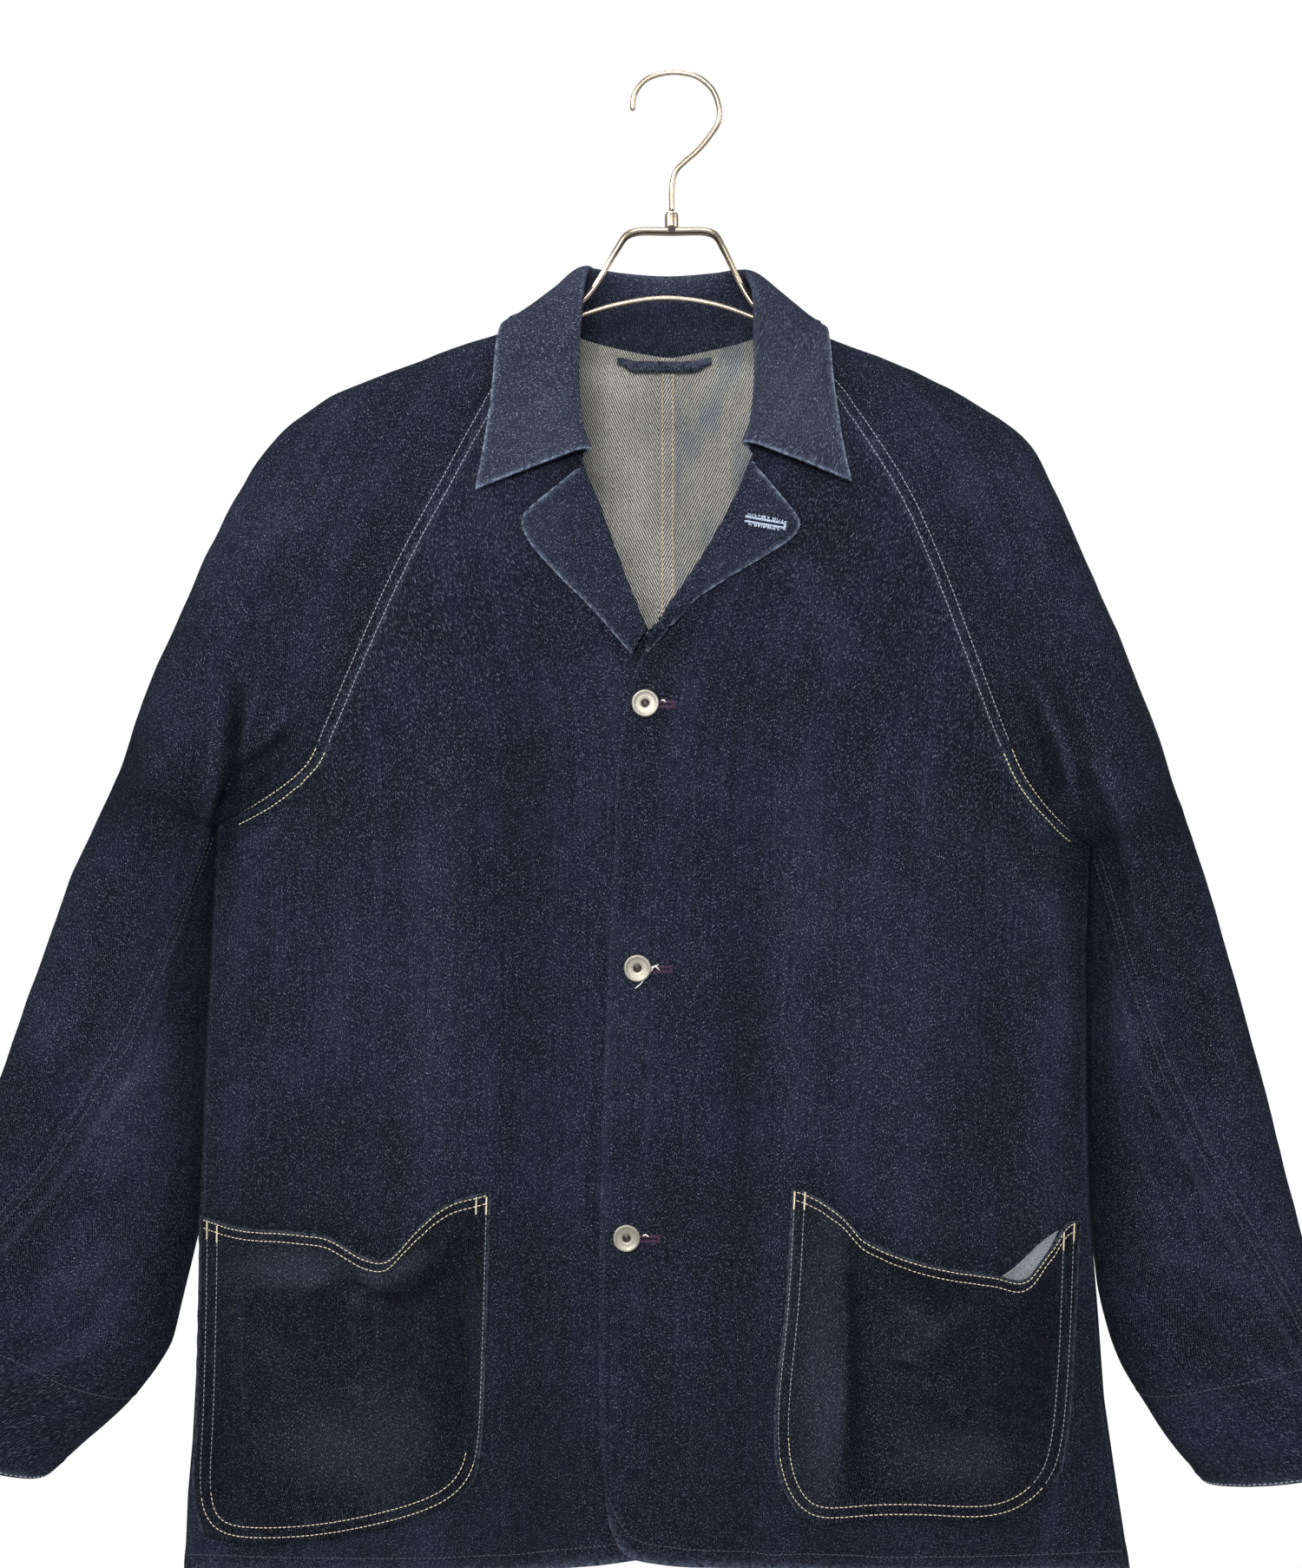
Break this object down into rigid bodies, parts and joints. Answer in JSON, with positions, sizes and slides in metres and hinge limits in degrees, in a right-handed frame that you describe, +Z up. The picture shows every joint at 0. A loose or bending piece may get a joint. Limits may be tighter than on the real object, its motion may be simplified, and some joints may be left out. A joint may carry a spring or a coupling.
{
  "type": "raglan-sleeved denim work jacket on a metal clothes hanger",
  "caption": "Unlined dark indigo denim work jacket with raglan sleeves, notched collar, metal buttons and patch pockets, hanging on a metal hanger.",
  "frame": {"origin": "inner crest of the hanger's hook, where a rail or peg carries it", "axes": "+Z up, -Y out of the jacket's front, +X towards the wearer's left"},
  "size_m": [0.9422, 0.1469, 0.9698],
  "materials": {
    "denim": "raw dark indigo twill, matte, with paler slubs and worn edges",
    "collar_denim": "indigo twill, a little faded, with pale worn edges",
    "button_metal": "satin nickel, worn",
    "hanger_metal": "champagne-coloured satin nickel"
  },
  "bodies": {
    "root": {"front_right": "denim", "front_left": "denim", "back_right": "denim", "back_left": "denim", "sleeve_right": "denim", "sleeve_left": "denim", "collar": "collar_denim", "lapel_right": "collar_denim", "lapel_left": "collar_denim", "pocket_right": "denim", "pocket_left": "denim", "hanging_loop": "denim", "button_1": "button_metal", "button_2": "button_metal", "button_3": "button_metal", "hanger_hook": "hanger_metal", "hanger_ferrule": "hanger_metal", "hanger_strip": "hanger_metal", "hanger_rod": "hanger_metal"}
  },
  "joints": []
}
